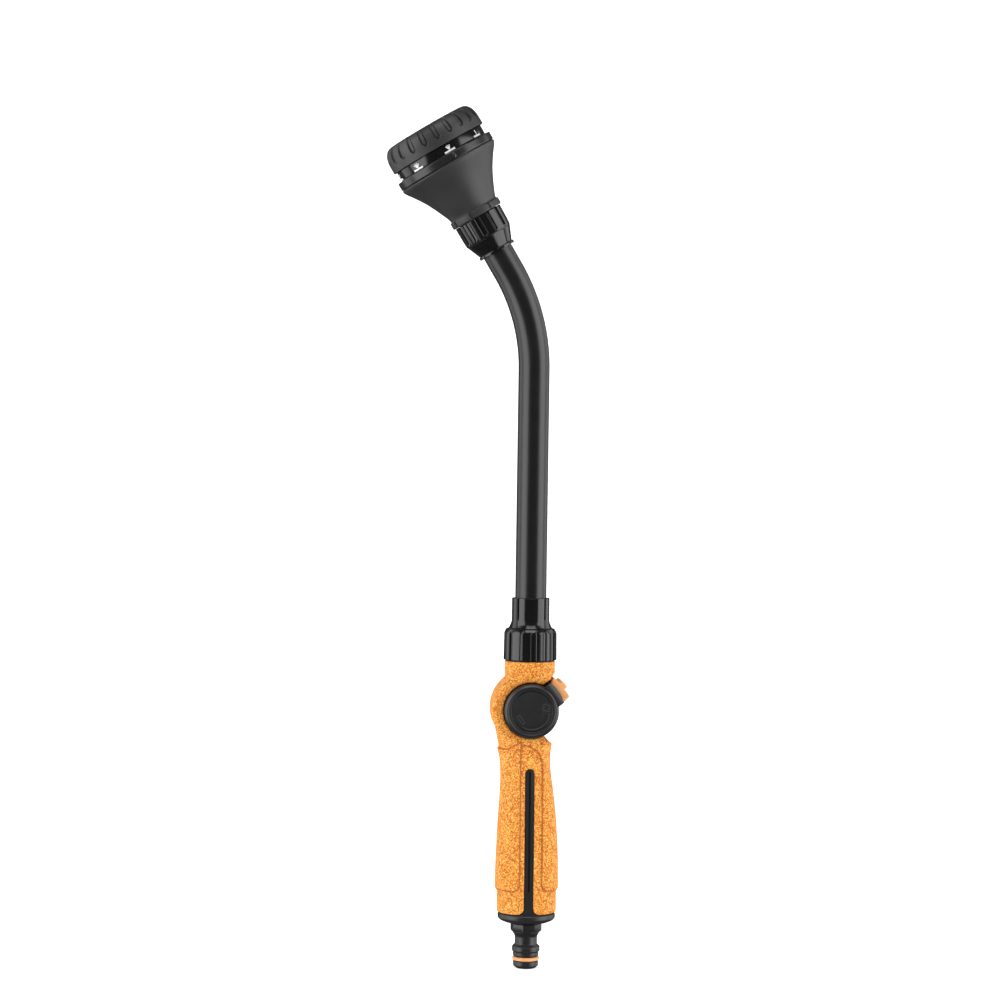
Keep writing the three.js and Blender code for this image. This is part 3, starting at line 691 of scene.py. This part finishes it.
def make_lever():
    arm_out = HUB_OUT - 0.4
    arm = slab([(0, -ARM_HALF), (30, -ARM_HALF), (30, ARM_HALF), (0, ARM_HALF)], -arm_out, arm_out)
    limit = turned([(0, -HUB_OUT), (ARM_R, -HUB_OUT), (ARM_R, HUB_OUT), (0, HUB_OUT)], 0.3, 192, closed=False)
    limit = moved(limit, along_y)
    arm = cut(arm, limit, how="INTERSECT")
    core = HUB_R - 0.6
    inside = moved(turned([(0, -30), (core, -30), (core, 30), (0, 30)], 0, 128, closed=False), along_y)
    slopes = []
    for side in (-1, 1):
        lean = Matrix.Rotation(math.radians(-28) * side, 4, "Z")
        corner = Matrix.Translation((17.6, side * arm_out, 0))
        slopes.append(moved(box(14, 4, 40, (0, side * 2, 0)), corner @ lean))
    arm = cut(arm, inside, *slopes)
    arm = moved(arm, VALVE @ Matrix.Rotation(-LEVER_ANGLE, 4, "Y"))
    cheeks = []
    for side in (-1, 1):
        profile = [(3, HUB_IN), (HUB_R, HUB_IN), (HUB_R, HUB_OUT - 1.7), (HUB_R - 0.5, HUB_OUT - 0.8),
                   (15.5, HUB_OUT - 0.15), (15.1, HUB_OUT), (14.7, HUB_OUT), (14.3, HUB_OUT - 0.45),
                   (CAP_R + 0.75, HUB_OUT - 0.5), (CAP_R + 0.35, HUB_OUT - 0.7), (CAP_R + 0.3, 20.2),
                   (3, 20.2)]
        cheeks.append(moved(on_side(turned(profile, 0.25, 192), side), VALVE))
    body = cut(fused(arm, *cheeks), neck_room())
    finished("lever", body, "thumb_valve", SATIN, "lever_yoke", sharp=30)


def make_thumb_pad():
    """A plain band, two teeth and a sloping end, as angles from the lever's middle and radii."""
    outer = [(-22.5, 21.1), (-17.2, 25.3), (-14, 25.5), (-9.5, 25.2), (-6.9, 24.9), (-6.4, 23.9),
             (-4.6, 23.9), (-4.0, 26.6), (-2, 27.05), (3, 27), (6.6, 26.5), (7.1, 24.7),
             (12, 24.7), (17.3, 24.6)]
    outer += [(angle, 20.78) for angle in (17.4, 13, 9, 4, 0, -4, -9, -14, -18)]
    points = [(r * math.cos(math.radians(a)), r * math.sin(math.radians(a))) for a, r in outer]
    pad = moved(slab(points, -14, 14, 0.25), VALVE @ Matrix.Rotation(-LEVER_ANGLE, 4, "Y"))
    finished("thumb_grip", cut(pad, neck_room()), "thumb_valve", TAN, "thumb_pad", sharp=30)


def swoosh(inner, outer, start, end, steps=40):
    """A wedge that follows a circle and grows from nothing to its full width."""
    points = []
    for i in range(steps + 1):
        a = math.radians(start + (end - start) * i / steps)
        points.append((outer * math.cos(a), outer * math.sin(a)))
    for i in range(steps, -1, -1):
        t = i / steps
        a = math.radians(start + (end - start) * t)
        r = outer - 0.25 - (outer - inner) * t
        points.append((r * math.cos(a), r * math.sin(a)))
    return points


def hub_marks(side, grow, depth):
    """Cutters for the marks of one hub plate, grown all round and let in by depth."""
    low, high = sorted((side * (CAP_OUT - depth), side * (CAP_OUT + 1)))
    marks = [slab(swoosh(7.2 - grow, 10.8 + grow, 238 - 3 * grow, 352 + 3 * grow), low, high)]
    for degrees, radius, turn, bars in ((216.7, 8.4, 126.7, ((5.4, 1.4),)),
                                        (16, 9.2, 28, ((4.3, 1.4), (1.4, 4.3)))):
        a = math.radians(degrees)
        place = Matrix.Translation((radius * math.cos(a), 0, radius * math.sin(a)))
        lean = place @ Matrix.Rotation(-math.radians(turn), 4, "Y")
        arms = [box(w + 2 * grow, high - low, h + 2 * grow, (0, (low + high) / 2, 0)) for w, h in bars]
        marks.append(fused(*[moved(arm, lean) for arm in arms]))
    return marks


def make_hub_caps():
    """Plates with their marks let in: less, more and the wedge that grows between them, each with a painted
    highlight on a ledge around it.
    """
    ledge = 0.15
    for end, side in (("front", -1), ("rear", 1)):
        plate = turned([(0, 20.5), (CAP_R, 20.5), (CAP_R, CAP_OUT), (0, CAP_OUT)], 0.2, 160, closed=False)
        plate = cut(on_side(plate, side), *hub_marks(side, 0.4, ledge), *hub_marks(side, 0, 0.55))
        for face in plate.faces:
            if abs(face.calc_center_median().y - side * (CAP_OUT - ledge)) < 0.01:
                # painted highlight: the ledge round each mark gets the lighter grey plastic
                face.material_index = 1
        item = finished(f"hub_plate_{end}", moved(plate, VALVE), "thumb_valve", SATIN,
                        f"hub_cap_{end}", sharp=30)
        item.data.materials.append(EDGE_HIGHLIGHT)


# ---- collar nuts and tube ----
def flute(angle, height, tip, phase, radius, depth=1.0):
    """How deep a nut's grooves are: open towards one end and rounded at tip, with a raised lip around."""
    across = off_centre(angle, FLUTES, phase, radius)
    half = 0.72
    past = max(0.0, height - (tip - half))
    far = math.hypot(across, past)
    return depth * (1 - smooth_step(half, half + 0.4, far)) + 0.16 * smooth_step(1.55, 1.95, far)


def make_tube_nut():
    profile = [(12.7, 193.5), (NUT_R - 0.3, 193.5), (NUT_R, 193.8), (16.5, 210.2), (16.2, 211.2),
               (15.3, 212.9), (13.6, 213.4), (12.5, 215.6), (11.75, 217.8), (11.75, 232.2),
               (10.15, 232.2), (10.15, 214.2), (11.3, 214.2), (12.7, 212.4)]
    bm = turned(profile, 0.35, 780, step=0.7)
    phase = math.radians(3) - math.pi / 2

    def depth(angle, height, radius):
        if radius > 15:
            return flute(angle, height, 210.9, phase, NUT_R)
        if radius > 11 and height > 217:
            across = off_centre(angle, 4, math.pi / 4, 11.75)
            low = max(0.0, 219.2 - height)
            return 0.95 * (1 - smooth_step(0.42, 0.72, math.hypot(across, low)))
        return 0
    finished("tube_collar", dent(bm, depth), "tube_nut", GLOSS, "tube_nut", sharp=50)


def make_tube():
    """A straight, a bend spun about its own centre, and the straight that enters the head."""
    tangent = BEND_RADIUS * math.tan(-HEAD_TILT / 2)
    axis = BEND.inverted() @ HEAD_AXIS
    meeting = HEAD_ZERO - HEAD_AXIS * HEAD_START
    low = span("wand_tube")[0]
    bm = bmesh.new()
    foot = Matrix.Translation((0, 0, low))
    ring = bmesh.ops.create_circle(bm, segments=96, radius=TUBE_R, matrix=foot)["verts"]
    edges = list({e for v in ring for e in v.link_edges})

    def carry(edges, vector, cuts):
        out = bmesh.ops.extrude_edge_only(bm, edges=edges)["geom"]
        verts = [g for g in out if isinstance(g, bmesh.types.BMVert)]
        bmesh.ops.translate(bm, vec=vector, verts=verts)
        return [g for g in out if isinstance(g, bmesh.types.BMEdge)]
    edges = carry(edges, Vector((0, 0, meeting.z - tangent - low)), 1)
    verts = list({v for e in edges for v in e.verts})
    swept = bmesh.ops.spin(bm, geom=verts + edges, cent=(-BEND_RADIUS, 0, meeting.z - tangent),
                           axis=(0, -1, 0), angle=-HEAD_TILT, steps=48)
    last = [g for g in swept["geom_last"] if isinstance(g, bmesh.types.BMEdge)]
    carry(last, axis * (HEAD_START + TUBE_END - tangent), 1)
    tidy(moved(bm, BEND))
    item = rough_object(bm)
    wall = item.modifiers.new("wall", "SOLIDIFY")
    wall.thickness = TUBE_WALL
    wall.offset = -1
    bm = evaluated(item)
    finished("tube", tidy(bm), "wand", TUBE, "wand_tube", sharp=60)


def make_head_nut():
    profile = [(10.15, -0.9), (12.1, -0.9), (12.1, 0.9), (11.3, 1.0), (15.0, 9.75), (15.5, 10.2), (15.7, 16),
               (HEAD_NUT_R, 23.6), (15.6, 23.82), (12.9, 23.82), (12.9, 5.2), (10.15, 5.2)]
    bm = turned(profile, 0.3, 780, step=0.7)
    phase = math.radians(-12.7) - math.pi / 2

    def depth(angle, height, radius):
        if radius > 14.2 and height > 9.9:
            return flute(angle, -height, -11.2, phase, HEAD_NUT_R)
        return 0
    finished("head_collar", dent(bm, depth), "head_nut", HEAD_GLOSS, "head_nut", HEAD,
             sharp=50)


# ---- spray head ----
def make_shell():
    profile = [(10.1, 9), (12.4, 9), (12.4, 23.95), (17, 23.95), (17, 28.3), (15.95, 28.7), (16.6, 31.2),
               (18.6, 35.8), (20.9, 40.8), (23.4, 45.6), (26.3, 50.3), (29.2, 54.4), (31.6, 57.6),
               (32.4, 59.1), (32.6, 60.5), (31.5, 60.9), (31.5, 65.7), (30.5, 65.7), (30.5, 61.2),
               (24.4, 51.5), (20, 44.4), (16.4, 36.4), (13.6, 30), (6.3, 26), (6.3, 22.4), (10.1, 22.4)]
    bm = turned(profile, 0.9, 512, step=1.0)

    def depth(angle, height, radius):
        if radius > 14 and 23.8 < height < 28.4:
            across = off_centre(angle, 8, math.radians(25.1) - math.pi / 2, 17)
            return 0.9 * (1 - smooth_step(0.8, 1.1, across))
        return 0
    finished("bell", dent(bm, depth), "wand", SOFT, "head_shell", HEAD, sharp=40)


def make_rim():
    """A smooth band round the bell's mouth, with a small bump that the dial's signs are set to."""
    profile = [(31.6, 61.0), (32.5, 61.0), (RIM_R - 0.1, 61.4), (RIM_R - 0.1, 65.5), (32.4, 65.9),
               (31.6, 65.9)]
    bm = turned(profile, 0.3, 512, step=0.5)

    def depth(angle, height, radius):
        across = off_centre(angle, 1, math.radians(1.6) - math.pi / 2, RIM_R)
        far = math.hypot(across, (height - 63.4) * 0.8)
        return -0.45 * (1 - smooth_step(0.7, 1.5, far)) if radius > 32.3 else 0
    finished("rim", dent(bm, depth), "wand", RIM, None, HEAD, sharp=50)


def make_band():
    band = turned([(26.9, 66.3), (BAND_R - 0.3, 66.3), (BAND_R, 66.6), (BAND_R, 71.9), (26.9, 71.9)], 0.15,
                  192)
    finished("band", band, "spray_dial", HEAD_GLOSS, "icon_band", HEAD)


def stroke(start, end, width):
    """A thin flat bar between two points of the band, as (across, along) in millimetres."""
    start, end = Vector((*start, 0)), Vector((*end, 0))
    length = (end - start).length
    angle = math.atan2(end.y - start.y, end.x - start.x)
    bm = bmesh.new()
    bmesh.ops.create_grid(bm, x_segments=max(1, int(length / 0.4)), y_segments=1, size=0.5,
                          matrix=Matrix.Translation((start + end) / 2) @ Matrix.Rotation(angle, 4, "Z")
                          @ Matrix.Diagonal((length, width, 1, 1)))
    return bm


def fan(count, spread, length, width, base=1.5):
    """Rays that leave one point."""
    rays = []
    for i in range(count):
        a = math.radians(90 + spread * (i / (count - 1) - 0.5)) if count > 1 else math.pi / 2
        near = (0.35 * math.cos(a), base)
        far = (length * math.cos(a), base + length * math.sin(a))
        rays.append((near, far, width))
    return rays


def pictograms():
    """One sign for each spray pattern, over a bar on the band's lower edge."""
    hatch = fan(5, 60, 3.1, 0.26, 1.3) + [((-1.1, 3.1), (1.1, 3.1), 0.26)]
    shower = fan(5, 80, 2.9, 0.4)
    jet = [((0, 1.3), (0, 4.4), 0.55)]
    cone = [((0, 1.3), (-1.7, 4.3), 0.4), ((0, 1.3), (1.7, 4.3), 0.4), ((-1.7, 4.3), (1.7, 4.3), 0.4)]
    flat = [((-1.9, 3.9), (1.9, 3.9), 0.45), ((0, 1.3), (-1.9, 3.9), 0.3), ((0, 1.3), (1.9, 3.9), 0.3)]
    mist = [((x, y), (x + 0.5, y), 0.5) for x, y in
            ((-0.25, 1.6), (-1.1, 2.6), (0.6, 2.6), (-1.8, 3.7), (-0.25, 3.7), (1.3, 3.7))]
    soak = [((x, 1.6), (x, 4.2), 0.5) for x in (-1.3, 0, 1.3)]
    corners = [(1.4 * math.cos(TURN * i / 8), 3 + 1.4 * math.sin(TURN * i / 8)) for i in range(9)]
    ring = [(start, end, 0.4) for start, end in zip(corners, corners[1:])]
    return [hatch, jet, cone, soak, flat, ring, mist, shower]


def make_pictograms():
    foot = [((-3.6, 0.6), (3.6, 0.6), 1.1)]
    for i, strokes in enumerate(pictograms()):
        sign = joined(*[stroke(*item) for item in foot + strokes])
        centre = math.radians(1.6) - math.pi / 2 + i * TURN / PATTERNS
        raised = bmesh.ops.extrude_face_region(sign, geom=sign.faces[:])
        top = {item for item in raised["geom"] if isinstance(item, bmesh.types.BMVert)}
        for vert in sign.verts:
            angle = centre + vert.co.x / BAND_R
            radius = BAND_R + (0.09 if vert in top else -0.12)
            vert.co = Vector((radius * math.cos(angle), radius * math.sin(angle), 66.5 + vert.co.y))
        bmesh.ops.recalc_face_normals(sign, faces=sign.faces)
        finished(f"sign_{i + 1}", sign, "spray_dial", PRINT, None, HEAD, sharp=30)


def make_bezel():
    profile = [(31.0, 72.2), (31.7, 72.3), (31.7, 77.5), (31.6, 79.3), (31.3, 81.2), (30.8, 83.0),
               (29.9, 84.7), (28.7, 86.2), (27.2, 87.2), (25.8, 87.6), (24.4, 87.3), (24.4, 80),
               (26.9, 80), (26.9, 72.2)]
    bm = turned(profile, 0.35, 780, step=0.5)
    phase = math.radians(-3.4) - math.pi / 2

    def depth(angle, height, radius):
        if radius < 25.2 or height < 74 or (radius < 27.5 and height < 86):
            return 0
        across = off_centre(angle, BEZEL_GROOVES, phase, 31)
        round_end = math.hypot(across, min(0.0, height - 78.6))
        floor = 0.95 * (1 - smooth_step(1.6, 1.9, round_end))
        moat = 0.4 * smooth_step(0.95, 1.35, round_end) * (1 - smooth_step(1.6, 1.9, round_end))
        return (floor + moat) * smooth_step(25.2, 26.2, radius)
    finished("bezel", dent(bm, depth), "spray_dial", SOFT, "selector_bezel", HEAD,
             sharp=60)


def hole(r, x, y, low=80, high=90, sides=20):
    bm = bmesh.new()
    bmesh.ops.create_cone(bm, cap_ends=True, segments=sides, radius1=r, radius2=r, depth=high - low,
                          matrix=Matrix.Translation((x, y - PORT_R, (low + high) / 2)))
    return bm


def circle_of(count, radius, r):
    angles = [TURN * i / count for i in range(count)]
    return [hole(r, radius * math.cos(a), radius * math.sin(a)) for a in angles]


def make_face():
    """The spray face: a raised ring and eight sectors with their own pattern of nozzles."""
    body = turned([(0, 79), (24.0, 79), (24.0, 86.0), (23.2, 86.4), (21.9, 86.4), (21.5, 86.0), (8.2, 86.0),
                   (7.8, 86.4), (6.6, 86.4), (6.6, 81), (0, 81)], 0.25, 192, closed=False)
    centre = (0, -PORT_R, 86)
    patterns = [
        circle_of(12, 3.4, 0.42) + circle_of(6, 1.8, 0.42),
        [hole(1.3, 0, 0)],
        [box(7, 0.8, 8, centre)],
        circle_of(6, 2.6, 0.45),
        [box(0.8, 7, 8, centre), box(7, 0.8, 8, centre)],
        circle_of(3, 2, 0.7),
        circle_of(5, 3, 0.6) + [hole(0.6, 0, 0)],
        [box(0.8, 7, 8, centre)],
    ]
    for i, pattern in enumerate(patterns):
        turn = Matrix.Rotation(i * TURN / PATTERNS, 4, "Z")
        boss = turned([(0, 85), (4.4, 85), (4.1, 86.35), (0, 86.35)], 0.2, 48, closed=False)
        body = fused(body, moved(boss, turn @ Matrix.Translation((0, -PORT_R, 0))))
        body = cut(body, *[moved(tool, turn) for tool in pattern])
    finished("face", body, "spray_dial", SOFT, "spray_face", HEAD, sharp=30)
    cap = turned([(0, 83.4), (6.2, 83.4), (6.2, 86.0), (5.4, 86.8), (3.6, 87.15), (0, 87.3)], 0.4, 96,
                 closed=False)
    finished("face_cap", cap, "spray_dial", TAN, "face_screw_cap", HEAD)


def dress_inner_nodes():
    """Gives every CAD node that stays its own finish."""
    finishes = {
        "seal_rubber": SEAL, "nylon": NYLON, "steel": STEEL, "white_plastic": WHITE, "black_plastic": SATIN,
        "soft_black_plastic": SOFT, "gloss_black_plastic": GLOSS, "tan_rubber": TAN, "cork_grip": CORK,
        "black_aluminium": TUBE}
    for part in frame["record"]["subparts"]:
        mesh = frame["nodes"][part["node"]].data
        mesh.materials.clear()
        mesh.materials.append(finishes[part["material_slot"]])


# ---- stage, light and camera ----
VIEW_CENTRE = Vector((-0.0202, 0, 0.2935))
VIEW_DISTANCE = 1.7
VIEW_RISE = 0.032  # of the camera above the point it looks at
VIEW_TURN = math.radians(-4)
VIEW_ROLL = math.radians(0.82)


def make_stage():
    """A pale floor that curves up into a backdrop."""
    bm = bmesh.new()
    outline = [(-2.5, 0.0), (0.9, 0.0)]
    for i in range(1, 17):
        a = math.pi / 2 * i / 16
        outline.append((0.9 + 0.6 * math.sin(a), 0.6 - 0.6 * math.cos(a)))
    outline.append((1.5, 3.2))
    verts = [bm.verts.new((-4, y, z)) for y, z in outline]
    edges = [bm.edges.new(pair) for pair in zip(verts, verts[1:])]
    out = bmesh.ops.extrude_edge_only(bm, edges=edges)["geom"]
    bmesh.ops.translate(bm, vec=(8, 0, 0), verts=[g for g in out if isinstance(g, bmesh.types.BMVert)])
    bmesh.ops.recalc_face_normals(bm, faces=bm.faces)
    mesh = bpy.data.meshes.new("stage")
    bm.to_mesh(mesh)
    bm.free()
    mesh.shade_smooth()
    item = bpy.data.objects.new("stage", mesh)
    bpy.context.scene.collection.objects.link(item)
    paper = Finish("paper", Roughness=0.9, Emission_Strength=0.5)
    paper.put(paper.shader, {"Base Color": (0.9, 0.9, 0.9, 1), "Emission Color": (1, 1, 1, 1)})
    mesh.materials.append(paper.material)
    item.visible_glossy = False


def soft_box(name, place, aim, size, power):
    light = bpy.data.lights.new(name, "AREA")
    light.shape = "RECTANGLE"
    light.size, light.size_y = size
    light.energy = power
    item = bpy.data.objects.new(name, light)
    item.location = place
    item.rotation_euler = (Vector(aim) - Vector(place)).to_track_quat("-Z", "Y").to_euler()
    bpy.context.scene.collection.objects.link(item)


def make_light_and_camera():
    bpy.context.scene.view_settings.view_transform = "Standard"
    world = bpy.data.worlds.new("studio")
    world.use_nodes = True
    world.node_tree.nodes["Background"].inputs["Color"].default_value = (1, 1, 1, 1)
    world.node_tree.nodes["Background"].inputs["Strength"].default_value = 0.1
    bpy.context.scene.world = world
    soft_box("left_box", (-1.25, -0.55, 0.4), (0, 0, 0.35), (1.2, 1.9), 24)
    soft_box("right_box", (1.25, -0.55, 0.4), (0, 0, 0.35), (1.2, 1.9), 24)
    soft_box("left_rim_box", (-1.3, 0.6, 0.4), (0, 0, 0.35), (0.8, 1.9), 7)
    soft_box("right_rim_box", (1.3, 0.6, 0.4), (0, 0, 0.35), (0.8, 1.9), 7)
    soft_box("top_box", (0, -0.9, 1.9), (0, 0, 0.3), (1.4, 0.9), 16)
    lens = bpy.data.cameras.new("camera")
    lens.lens = 80 * VIEW_DISTANCE / 1.389
    lens.sensor_width = 36
    camera = bpy.data.objects.new("camera", lens)
    away = Vector((math.sin(VIEW_TURN), -math.cos(VIEW_TURN), 0)) * VIEW_DISTANCE + Vector((0, 0, VIEW_RISE))
    camera.location = VIEW_CENTRE + away
    facing = (-away).to_track_quat("-Z", "Y").to_matrix().to_4x4()
    camera.rotation_euler = (facing @ Matrix.Rotation(VIEW_ROLL, 4, "Z")).to_euler()
    bpy.context.scene.collection.objects.link(camera)
    bpy.context.scene.camera = camera


dress_inner_nodes()
make_connector()
make_grip()
make_core()
make_lever()
make_thumb_pad()
make_hub_caps()
make_tube_nut()
make_tube()
make_head_nut()
make_shell()
make_rim()
make_band()
make_pictograms()
make_bezel()
make_face()
make_stage()
make_light_and_camera()
